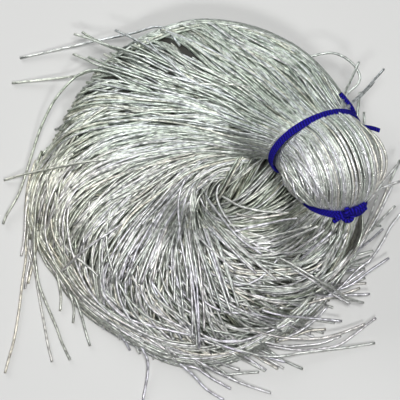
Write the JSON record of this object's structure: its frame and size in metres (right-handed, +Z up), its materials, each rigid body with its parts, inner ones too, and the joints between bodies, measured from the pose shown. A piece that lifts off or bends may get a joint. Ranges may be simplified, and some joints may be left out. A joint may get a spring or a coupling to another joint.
{
  "type": "tied hank of bullion wire",
  "caption": "Bunch of cut silver coil wires bound with blue cord round a ball-shaped head and laid down in a flat whorl, with loose wire ends round its rim.",
  "frame": {"origin": "middle of the base of the whole hank's box, on the surface that it lies on", "axes": "+Z up, out of the whorl's top; +X towards the side of the bound head; +Y away from a viewer who sees the head on the right"},
  "size_m": [0.1626, 0.159, 0.0516],
  "materials": {
    "silver_wire": "bright silvered copper wire, wound as a close coil",
    "blue_cord": "matt twisted cotton cord"
  },
  "bodies": {
    "root": {"hank": "silver_wire", "neck_tie": "blue_cord", "end_tie": "blue_cord"}
  },
  "joints": []
}
